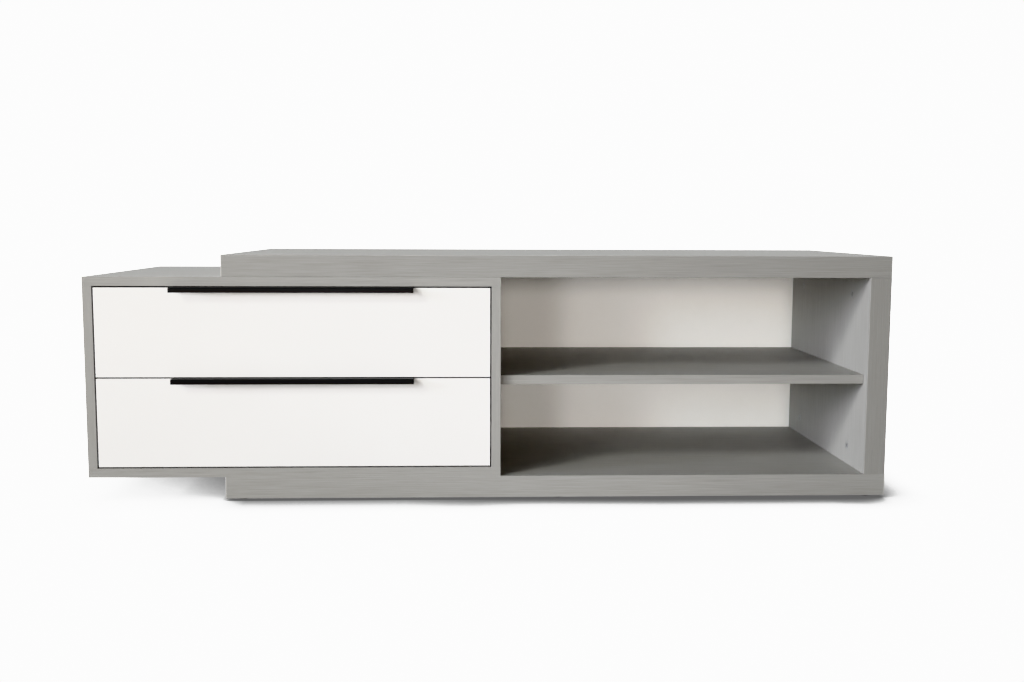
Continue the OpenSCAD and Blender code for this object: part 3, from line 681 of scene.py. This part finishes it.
@dataclass
class Screw:
    """One screw, read from the loose part of the CAD node that stands for it."""

    top: Vector
    outwards: Vector
    length: float
    head_r: float
    shank_r: float
    head_h: float

    @staticmethod
    def read(points: list[Vector]) -> "Screw":
        """Reads a screw from the points of its plain solid.

        Args:
            points: Every point of the solid.

        Returns:
            The screw, with its head at the wider end.
        """
        low = Vector([min(point[i] for point in points) for i in range(3)])
        high = Vector([max(point[i] for point in points) for i in range(3)])
        size = high - low
        axis = max(range(3), key=lambda i: size[i])
        middle = (low + high) / 2

        def radius(point: Vector) -> float:
            """Distance of a point from the axis."""
            offset = point - middle
            offset[axis] = 0.0
            return offset.length

        ends = {
            sense: max(radius(p) for p in points if abs(p[axis] - place[axis]) < ON_PLANE)
            for sense, place in ((-1, low), (1, high))
        }
        sense = max(ends, key=ends.get)
        shank_r = ends[-sense]
        top = middle.copy()
        top[axis] = (high if sense > 0 else low)[axis]
        outwards = Vector([sense if i == axis else 0 for i in range(3)])
        head_r = max(radius(p) for p in points)
        wide = [abs(p[axis] - top[axis]) for p in points if radius(p) > head_r - ON_PLANE]
        head_h = max(max(wide), head_r - shank_r)
        return Screw(top, outwards, size[axis], head_r, shank_r, head_h)


@dataclass
class ScrewSet:
    """All the screws of one CAD node, with cross recesses in their heads."""

    node: str
    body: str
    head: Head
    slot: str = "zinc_plated_steel"
    finish: Finish = SCREW_ZINC
    recess_reach: float = 0.56
    recess_width: float = 0.16
    recess_depth: float = 0.42
    recess_taper: float = 0.55
    crown: float = 0.30
    tip_share: float = 0.22
    tip_length: float = 2.0
    land_share: float = 0.08
    # Rings of a pan head: share of its radius, and share of its crown or its height
    pan_top: tuple[float, float] = (0.80, 0.35)
    pan_crown: float = 0.94
    pan_flank: float = 0.55
    grid: int = 6

    def build(self) -> Object:
        """Reads the places of the screws from the node and makes them one piece.

        Returns:
            The piece with all the screws.
        """
        whole = bmesh.new()
        for screw in self.places():
            single = self.shape(screw)
            turn = Vector((0, 0, 1)).rotation_difference(screw.outwards).to_matrix().to_4x4()
            single.transform(Matrix.Translation(screw.top) @ turn)
            carrier = bpy.data.meshes.new("screw")
            single.to_mesh(carrier)
            single.free()
            whole.from_mesh(carrier)
            bpy.data.meshes.remove(carrier)
        return make_piece(whole, f"{self.node}_set", self.body, self.finish, (self.node,))

    def places(self) -> list[Screw]:
        """Returns the screw that each loose part of the node stands for."""
        mesh = node_mesh(self.node)
        left = set(mesh.verts)
        found = []
        while left:
            reach = [left.pop()]
            part = []
            while reach:
                vertex = reach.pop()
                part.append(vertex.co.copy())
                near = {edge.other_vert(vertex) for edge in vertex.link_edges} & left
                left -= near
                reach.extend(near)
            found.append(Screw.read(part))
        mesh.free()
        return sorted(found, key=lambda screw: tuple(screw.top))

    def shape(self, screw: Screw) -> bmesh.types.BMesh:
        """Models one screw with the top of its head at the origin and its tip along -Z.

        Args:
            screw: Sizes of the screw.

        Returns:
            Its closed mesh.
        """
        mesh = bmesh.new()
        reach = screw.head_r * self.recess_reach
        half_w = screw.head_r * self.recess_width
        crown = screw.head_h * self.crown if self.head is Head.PAN else 0.0
        bmesh.ops.create_grid(mesh, x_segments=self.grid, y_segments=self.grid, size=reach)
        step = 2 * reach / self.grid
        for vertex in mesh.verts:
            for i in range(2):
                if abs(abs(vertex.co[i]) - step) < ON_PLANE:
                    vertex.co[i] = math.copysign(half_w, vertex.co[i])
        rim = self.rim(mesh)
        self.sink_recess(mesh, screw, half_w)
        for radius, depth in self.rings(screw, crown):
            rim = self.grow(mesh, rim, radius, depth)
        mesh.faces.new(rim)
        bmesh.ops.recalc_face_normals(mesh, faces=mesh.faces)
        return mesh

    def rim(self, mesh: bmesh.types.BMesh) -> list[bmesh.types.BMVert]:
        """Returns the outer vertices of the flat grid, in order round it."""
        outer = {vertex for edge in mesh.edges if edge.is_boundary for vertex in edge.verts}
        return sorted(outer, key=lambda vertex: math.atan2(vertex.co.y, vertex.co.x))

    def sink_recess(self, mesh: bmesh.types.BMesh, screw: Screw, half_w: float) -> None:
        """Sinks the cross in the middle of the grid, narrower towards its floor."""
        depth = screw.head_r * self.recess_depth
        cross = [f for f in mesh.faces if min(abs(c) for c in f.calc_center_median().xy) < half_w]
        floor = {}
        for face in cross:
            for vertex in face.verts:
                if vertex not in floor:
                    x, y = vertex.co.xy * self.recess_taper
                    floor[vertex] = mesh.verts.new((x, y, -depth))
        for face in cross:
            mesh.faces.new([floor[vertex] for vertex in face.verts])
            for loop in list(face.loops):
                if sum(neighbour in cross for neighbour in loop.edge.link_faces) == 1:
                    a, b = loop.vert, loop.link_loop_next.vert
                    mesh.faces.new((a, b, floor[b], floor[a]))
        bmesh.ops.delete(mesh, geom=cross, context="FACES")

    def rings(self, screw: Screw, crown: float) -> list[tuple[float, float]]:
        """Returns radius and depth of each ring from the recess to the tip."""
        tip = screw.shank_r * self.tip_length
        shank = [(screw.shank_r, screw.length - tip), (screw.shank_r * self.tip_share, screw.length)]
        if self.head is Head.COUNTERSUNK:
            land = screw.head_h * self.land_share
            head = [(screw.head_r, 0.0), (screw.head_r, land), (screw.shank_r, screw.head_h)]
            return head + shank
        head = [
            (screw.head_r * self.pan_top[0], crown * self.pan_top[1]),
            (screw.head_r * self.pan_crown, crown),
            (screw.head_r, screw.head_h * self.pan_flank),
            (screw.head_r, screw.head_h),
            (screw.shank_r, screw.head_h),
        ]
        return head + shank

    def grow(
        self, mesh: bmesh.types.BMesh, rim: list[bmesh.types.BMVert], radius: float, depth: float
    ) -> list[bmesh.types.BMVert]:
        """Joins the open rim to a new ring.

        Args:
            mesh: Mesh that the rim belongs to.
            rim: Vertices of the rim, in order.
            radius: Radius of the ring.
            depth: Depth of the ring below the top of the head.

        Returns:
            The vertices of the ring, in the same order.
        """
        ring = []
        for i in range(len(rim)):
            angle = 2 * math.pi * (i + 0.5) / len(rim) - math.pi
            ring.append(mesh.verts.new((radius * math.cos(angle), radius * math.sin(angle), -depth)))
        for i in range(len(rim)):
            mesh.faces.new((rim[i], rim[i - 1], ring[i - 1], ring[i]))
        return ring


@dataclass
class ThickFrame:
    """The C-shaped frame: two slabs, the right side between them, its fittings and the glides."""

    body: str = "carcass"
    slot: str = "grey_decor_board"
    band_t: float = 0.002
    arris_r: float = 0.001

    def build(self) -> None:
        """Builds the boards with their bands."""
        ends = {Side.LEFT: END_Y, Side.RIGHT: END_Y, Side.BACK: GREY_X}
        # The front bands carry painted shade: darker than the faces, on the top slab and the right side
        # darker still
        top = {**ends, Side.FRONT: SHADED_SLAB_FRONT_X}
        foot = {**ends, Side.FRONT: SHADED_FRONT_X}
        upright = {Side.FRONT: SHADED_SIDE_FRONT_Z, Side.BACK: GREY_Z}
        for node, face, bands, butted in (
            ("top_slab", GREY_X, top, ()),
            ("bottom_slab", GREY_X, foot, ()),
            ("right_side_slab", GREY_Z, upright, BOARD_ENDS),
        ):
            Board(node, self.body, self.slot, face, bands, self.band_t, self.arris_r, butted).build()

    def dress(self) -> None:
        """Gives the fittings and the glides their finishes."""
        dress_node("frame_cam_locks", CAST_ZINC)
        dress_node("frame_cam_bolts", SCREW_ZINC)
        dress_node("frame_dowels", PLAIN_BEECH)
        dress_node("glides", DARK_PLASTIC)


@dataclass
class DrawerBox:
    """The box of thinner boards around the drawers, with its fittings and cabinet rails."""

    body: str = "carcass"
    slot: str = "grey_decor_board"
    band_t: float = 0.0008
    arris_r: float = 0.0004

    def build(self) -> None:
        """Builds the boards with their bands, and the screws."""
        # The front bands carry painted shade: darker than the faces
        lying = {Side.LEFT: END_Y, Side.RIGHT: END_Y, Side.FRONT: SHADED_FRONT_X, Side.BACK: GREY_X}
        standing = {Side.FRONT: SHADED_FRONT_Z, Side.BACK: GREY_Z}
        for node, face, bands, butted in (
            ("box_top", GREY_X, lying, ()),
            ("box_bottom", GREY_X, lying, ()),
            ("box_left_side", GREY_Z, standing, BOARD_ENDS),
            ("box_right_side", GREY_Z, standing, BOARD_ENDS),
        ):
            Board(node, self.body, self.slot, face, bands, self.band_t, self.arris_r, butted).build()
        ScrewSet("joining_screws", self.body, Head.COUNTERSUNK).build()
        ScrewSet("cabinet_rail_screws", self.body, Head.COUNTERSUNK).build()

    def dress(self) -> None:
        """Gives the panel, the fittings and the rails their finishes; the cabinet rails get a darker zinc
        as painted shade.
        """
        dress_node("box_back_panel", WHITE_PANEL)
        dress_node("box_cam_locks", CAST_ZINC)
        dress_node("box_cam_bolts", SCREW_ZINC)
        dress_node("box_dowels", PLAIN_BEECH)
        for level in ("upper", "lower"):
            for side in ("left", "right"):
                # The cabinet rails get the darker zinc as painted shade
                dress_node(f"{level}_{side}_cabinet_rail", SHADE_DARKENED_ZINC)


@dataclass
class OpenBay:
    """The open bay: its shelf, the pins under it and the thin back panel."""

    body: str = "carcass"
    slot: str = "grey_decor_board"
    band_t: float = 0.0008
    arris_r: float = 0.0004

    def build(self) -> None:
        """Builds the shelf with the band on its front edge."""
        # The shelf's front band carries painted shade: darker than its faces
        bands = {Side.FRONT: SHADED_FRONT_X}
        Board("bay_shelf", self.body, self.slot, GREY_X, bands, self.band_t, self.arris_r).build()

    def dress(self) -> None:
        """Gives the panel and the pins their finishes."""
        dress_node("bay_back_panel", WHITE_PANEL)
        dress_node("shelf_pins", PIN_NICKEL)


@dataclass
class RunnerStage:
    """The sliding middle stage of both runners of one drawer: rails, cages and balls."""

    level: str

    def dress(self) -> None:
        """Gives the rails, the cages and the balls their finishes."""
        for side in ("left", "right"):
            dress_node(f"{self.level}_{side}_middle_rail", ROLLED_ZINC)
        dress_node(f"{self.level}_ball_cages", ROLLED_ZINC)
        dress_node(f"{self.level}_balls", BALL_STEEL)


@dataclass
class Drawer:
    """One drawer: its front and handle, the box behind them and the rails on its sides."""

    level: str
    front_band_t: float = 0.0008
    front_arris_r: float = 0.0006
    board_band_t: float = 0.0005
    board_arris_r: float = 0.0004
    handle_burr: float = 0.0003
    handle_segments: int = 2

    @property
    def body(self) -> str:
        """Body that every piece of the drawer rides on."""
        return f"{self.level}_drawer"

    def build(self) -> None:
        """Builds the front, the handle, the boards and the screws."""
        around = {side: WHITE_FRONT for side in (Side.LEFT, Side.RIGHT, Side.BOTTOM, Side.TOP)}
        front = f"{self.level}_drawer_front"
        Board(
            front, self.body, "white_front", WHITE_FRONT, around, self.front_band_t, self.front_arris_r
        ).build()
        upper_edge = {Side.TOP: WHITE_BOARD}
        between_sides = (Side.LEFT, Side.RIGHT)
        for part, butted in (
            ("inner_front", between_sides),
            ("drawer_back", between_sides),
            ("left_drawer_side", ()),
            ("right_drawer_side", ()),
        ):
            Board(
                f"{self.level}_{part}",
                self.body,
                "white_board",
                WHITE_BOARD,
                upper_edge,
                self.board_band_t,
                self.board_arris_r,
                butted,
            ).build()
        self.build_handle()
        for part in ("corner_screws", "front_screws", "drawer_rail_screws"):
            ScrewSet(f"{self.level}_{part}", self.body, Head.COUNTERSUNK).build()
        ScrewSet(f"{self.level}_handle_screws", self.body, Head.PAN).build()

    def build_handle(self) -> Object:
        """Breaks the sharp sawn ends of the handle profile.

        Returns:
            The handle.
        """
        node = f"{self.level}_handle"
        low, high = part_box(node)
        mesh = node_mesh(node)
        layer = mesh.faces.layers.float.new(ARRIS)
        sawn = [
            edge
            for edge in mesh.edges
            for x in (low.x, high.x)
            if all(abs(vertex.co.x - x) < ON_PLANE for vertex in edge.verts)
        ]
        broken = bmesh.ops.bevel(
            mesh,
            geom=sawn,
            offset=self.handle_burr,
            offset_type="OFFSET",
            segments=self.handle_segments,
            profile=0.5,
            affect="EDGES",
            clamp_overlap=True,
            material=-1,
        )
        for face in broken["faces"]:
            face[layer] = 1.0
        return make_piece(mesh, f"{node}_profile", self.body, BLACK_PROFILE, (node,))

    def dress(self) -> None:
        """Gives the bottom, the drawer rails and their release levers their finishes."""
        dress_node(f"{self.level}_drawer_bottom", WHITE_PANEL)
        dress_node(f"{self.level}_release_levers", DARK_PLASTIC)
        for side in ("left", "right"):
            dress_node(f"{self.level}_{side}_drawer_rail", ROLLED_ZINC)


@dataclass(frozen=True)
class Sun:
    """Far light, seen from the cabinet."""

    name: str
    # Degrees that it stands left of straight ahead, and above the floor
    turn: float
    rise: float
    # Light that falls on a face turned to it, in watts per square metre
    light: Colour
    # Its width in degrees
    spread: float = 10.0

    def hang(self) -> Object:
        """Hangs the light, and returns it."""
        data = bpy.data.lights.new(self.name, "SUN")
        data.angle = math.radians(self.spread)
        swing = Matrix.Rotation(-math.radians(self.turn), 4, "Z")
        tilt = Matrix.Rotation(math.radians(90 - self.rise), 4, "X")
        return hang_light(data, self.light, swing @ tilt)


@dataclass(frozen=True)
class SoftBox:
    """Rectangular light that faces a target."""

    name: str
    place: tuple[float, float, float]
    target: tuple[float, float, float]
    size: tuple[float, float]
    # Its power in watts
    light: Colour

    def hang(self) -> Object:
        """Hangs the light, and returns it."""
        data = bpy.data.lights.new(self.name, "AREA")
        data.shape = "RECTANGLE"
        data.size, data.size_y = self.size
        return hang_light(data, self.light, facing(self.place, self.target))


@dataclass(frozen=True)
class SoftSpot:
    """Spot light with a soft edge."""

    name: str
    place: tuple[float, float, float]
    target: tuple[float, float, float]
    # Its power in watts, the angle of its cone in degrees and the radius of its lamp
    light: Colour
    cone: float
    lamp_r: float = 0.2

    def hang(self) -> Object:
        """Hangs the light, and returns it."""
        data = bpy.data.lights.new(self.name, "SPOT")
        data.spot_size = math.radians(self.cone)
        data.spot_blend = 1.0
        data.shadow_soft_size = self.lamp_r
        return hang_light(data, self.light, facing(self.place, self.target))


def facing(place: tuple[float, float, float], target: tuple[float, float, float]) -> Matrix:
    """Returns the placing of a light that faces a target."""
    away = Vector(place) - Vector(target)
    return Matrix.Translation(place) @ away.to_track_quat("Z", "Y").to_matrix().to_4x4()


def hang_light(data: bpy.types.Light, light: Colour, placing: Matrix) -> Object:
    """Hangs a light.

    Args:
        data: The light's own settings.
        light: Its strength in red, green and blue.
        placing: Where it hangs and how it is turned.

    Returns:
        The light.
    """
    data.energy = max(light)
    data.color = [part / data.energy for part in light]
    hung = bpy.data.objects.new(data.name, data)
    hung.matrix_world = placing
    bpy.context.scene.collection.objects.link(hung)
    return hung


@dataclass(frozen=True)
class FloorShadow:
    """Soft shadow at the cabinet's foot: the share of open sky above the floor, raised to a power."""

    # Distance that the open sky is looked for in, and the least light next to that of the open floor
    reach: float = 0.10
    least: float = 0.054
    # Under the free end: distances from the left end of the bottom slab, and the power at each
    end_reach: tuple[float, float] = (-0.155, -0.01)
    end_power: tuple[float, float] = (0.80, 1.35)
    # Distances behind the slab's front, and the share of that power at each
    back_reach: tuple[float, float] = (0.08, 0.18)
    back_share: tuple[float, float] = (0.80, 1.20)
    # Beside the slab: distances from its left end, right end and front that the shadow sets in over
    left_reach: tuple[float, float] = (-0.01, 0.035)
    right_reach: tuple[float, float] = (0.01, -0.04)
    right_share: tuple[float, float] = (0.50, 1.0)
    front_reach: tuple[float, float] = (-0.10, -0.04)
    # Places along the width that its power grows between
    bay_reach: tuple[float, float] = (-0.15, 0.30)
    bay_power: tuple[float, float] = (3.0, 9.0)

    def power(self, graph: Graph) -> Socket:
        """Adds how deep the shadow is: deep at the bottom slab, slight under the free end.

        Args:
            graph: Graph of the floor's material.

        Returns:
            The power that the share of open sky is raised to.
        """
        low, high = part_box("bottom_slab")
        x, y, _ = graph.add("SeparateXYZ", {0: graph.add("TexCoord").outputs["Object"]}).outputs

        def ramp(place: Socket, start: float, reach: tuple[float, float]) -> Socket:
            """Rises from 0 to 1 between two distances from a start."""
            return graph.spread(place, start + reach[0], start + reach[1])

        under = graph.between(ramp(x, low.x, self.end_reach), *self.end_power)
        behind = graph.between(ramp(y, low.y, self.back_reach), *self.back_share)
        at_left = ramp(x, low.x, self.left_reach)
        at_right = graph.between(ramp(x, high.x, self.right_reach), *self.right_share)
        at_front = ramp(y, low.y, self.front_reach)
        at_bay = graph.between(graph.spread(x, *self.bay_reach), *self.bay_power)
        ends = graph.math("MULTIPLY", at_left, at_right)
        beside = graph.math("MULTIPLY", graph.math("MULTIPLY", ends, at_front), at_bay)
        return graph.math("ADD", graph.math("MULTIPLY", under, behind), beside)


@dataclass
class Studio:
    """Camera, pale floor and soft light."""

    # The camera was fitted to the photograph: place, view angles in degrees and focal length in mm
    camera_place: tuple[float, float, float] = (-0.0369, -2.1401, 0.4826)
    pitch_down: float = 6.004
    yaw_right: float = 2.14
    roll: float = 0.207
    focal_mm: float = 38.89
    sensor_mm: float = 36.0
    floor_size: float = 40.0
    floor_bounce: float = 0.30
    shadow: FloorShadow = FloorShadow()
    # Strength of the white surroundings for matt faces, for glossy ones and for the camera
    sky: float = 0.04
    sheen: float = 0.8
    background: float = 3.0

    def build(self) -> None:
        """Sets up camera, floor, lights and the tone of the picture."""
        self.place_camera()
        self.lay_floor()
        self.hang_lights()
        self.surround()
        bpy.context.scene.view_settings.view_transform = "Khronos PBR Neutral"

    def place_camera(self) -> None:
        """Creates the camera at the photograph's viewing angle."""
        data = bpy.data.cameras.new("Camera")
        data.sensor_fit = "HORIZONTAL"
        data.sensor_width = self.sensor_mm
        data.lens = self.focal_mm
        camera = bpy.data.objects.new("Camera", data)
        turn = Matrix.Rotation(-math.radians(self.yaw_right), 4, "Z")
        tilt = Matrix.Rotation(math.radians(90 - self.pitch_down), 4, "X")
        roll = Matrix.Rotation(math.radians(self.roll), 4, "Z")
        camera.matrix_world = Matrix.Translation(self.camera_place) @ turn @ tilt @ roll
        bpy.context.scene.collection.objects.link(camera)
        bpy.context.scene.camera = camera

    def lay_floor(self) -> None:
        """Lays the pale floor under the glides, white to the camera but for the shadow at its foot."""
        mesh = bmesh.new()
        bmesh.ops.create_grid(mesh, x_segments=1, y_segments=1, size=self.floor_size / 2)
        data = bpy.data.meshes.new("floor")
        mesh.to_mesh(data)
        mesh.free()
        floor = bpy.data.objects.new("floor", data)
        bpy.context.scene.collection.objects.link(floor)
        material = bpy.data.materials.new("pale floor")
        material.use_nodes = True
        graph = Graph(material.node_tree)
        reach = {"Distance": self.shadow.reach}
        open_sky = graph.add("AmbientOcclusion", reach, samples=16).outputs["AO"]
        glow = graph.math("POWER", open_sky, self.shadow.power(graph))
        strength = graph.between(glow, self.shadow.least * self.background, self.background)
        seen = graph.add("Emission", {"Strength": strength}).outputs[0]
        bounced = graph.add("BsdfDiffuse", {"Color": (*(self.floor_bounce,) * 3, 1.0)}).outputs[0]
        camera_ray = graph.add("LightPath").outputs["Is Camera Ray"]
        mixed = graph.add("MixShader", {0: camera_ray, 1: bounced, 2: seen})
        graph.add("OutputMaterial", {"Surface": mixed.outputs[0]})
        data.materials.append(material)

    def hang_lights(self) -> None:
        """Hangs the soft lights all round, most of them in front and at the left."""
        drawers = (-0.55, -0.2, 0.3)
        bay = (0.35, 0.1, 0.25)
        slab_end = (-0.465, 0.01, 0.022)
        for lamp in (
            Sun("low front light", 0, 4, (0.855, 0.800, 0.735), 8.0),
            Sun("low left light", 33, 6, (0.240, 0.240, 0.230)),
            Sun("left light", 38, 10, (0.305, 0.385, 0.430)),
            Sun("high left light", 50, 30, (1.285, 1.305, 1.205)),
            Sun("far left light", 58, 12, (0.570, 0.540, 0.620)),
            Sun("side light", 72, 12, (1.245, 1.275, 1.375)),
            Sun("overhead light", 180, 86, (1.750, 1.750, 1.750), 8.0),
            SoftBox("upper left box", (-1.0, -1.3, 0.75), drawers, (0.5, 0.4), (3.8, 3.5, 3.1)),
            SoftBox("lower left box", (-1.0, -1.3, 0.38), drawers, (0.5, 0.1), (2.2, 2.0, 1.8)),
            SoftBox("left bay box", (-0.35, -0.75, 0.42), bay, (0.25, 0.15), (0.65, 0.65, 0.65)),
            SoftBox("right bay box", (0.55, -1.0, 0.45), bay, (0.4, 0.2), (0.35, 0.25, 0.15)),
            SoftSpot("bay spot", (-0.726, -2.719, 0.32), (0.3, 0.1, 0.17), (67.0, 66.0, 66.0), 20.0),
            SoftBox("back box", (0.0, 1.9, 0.21), (0.0, 0.25, 0.21), (1.4, 0.4), (18.0, 18.0, 18.0)),
            SoftBox("right box", (2.2, 0.25, 0.21), (0.7, 0.25, 0.21), (0.5, 0.4), (15.0, 15.0, 15.0)),
            SoftBox("under light", (-0.69, 0.01, 0.022), slab_end, (0.44, 0.03), (0.2, 0.2, 0.2)),
        ):
            lamp.hang()

    def surround(self) -> None:
        """Surrounds the scene with white, which lights matt faces a little and shows in glossy ones."""
        world = bpy.data.worlds.new("studio")
        world.use_nodes = True
        graph = Graph(world.node_tree)
        path = graph.add("LightPath").outputs
        soft = graph.math("MULTIPLY", path["Is Diffuse Ray"], self.sky)
        glossy = graph.math("MULTIPLY", path["Is Glossy Ray"], self.sheen)
        seen = graph.math("MULTIPLY", path["Is Camera Ray"], self.background)
        strength = graph.math("ADD", graph.math("ADD", soft, glossy), seen)
        shader = graph.add("Background", {"Color": (1.0, 1.0, 1.0, 1.0), "Strength": strength})
        graph.add("OutputWorld", {"Surface": shader.outputs[0]})
        bpy.context.scene.world = world


def main() -> None:
    """Builds and dresses the cabinet, then sets up the studio."""
    logging.basicConfig(level=logging.INFO, format="%(message)s")
    for assembly in (ThickFrame(), DrawerBox(), OpenBay(), Drawer("upper"), Drawer("lower")):
        assembly.build()
        assembly.dress()
    for level in ("upper", "lower"):
        RunnerStage(level).dress()
    Studio().build()


if __name__ == "__main__":
    main()
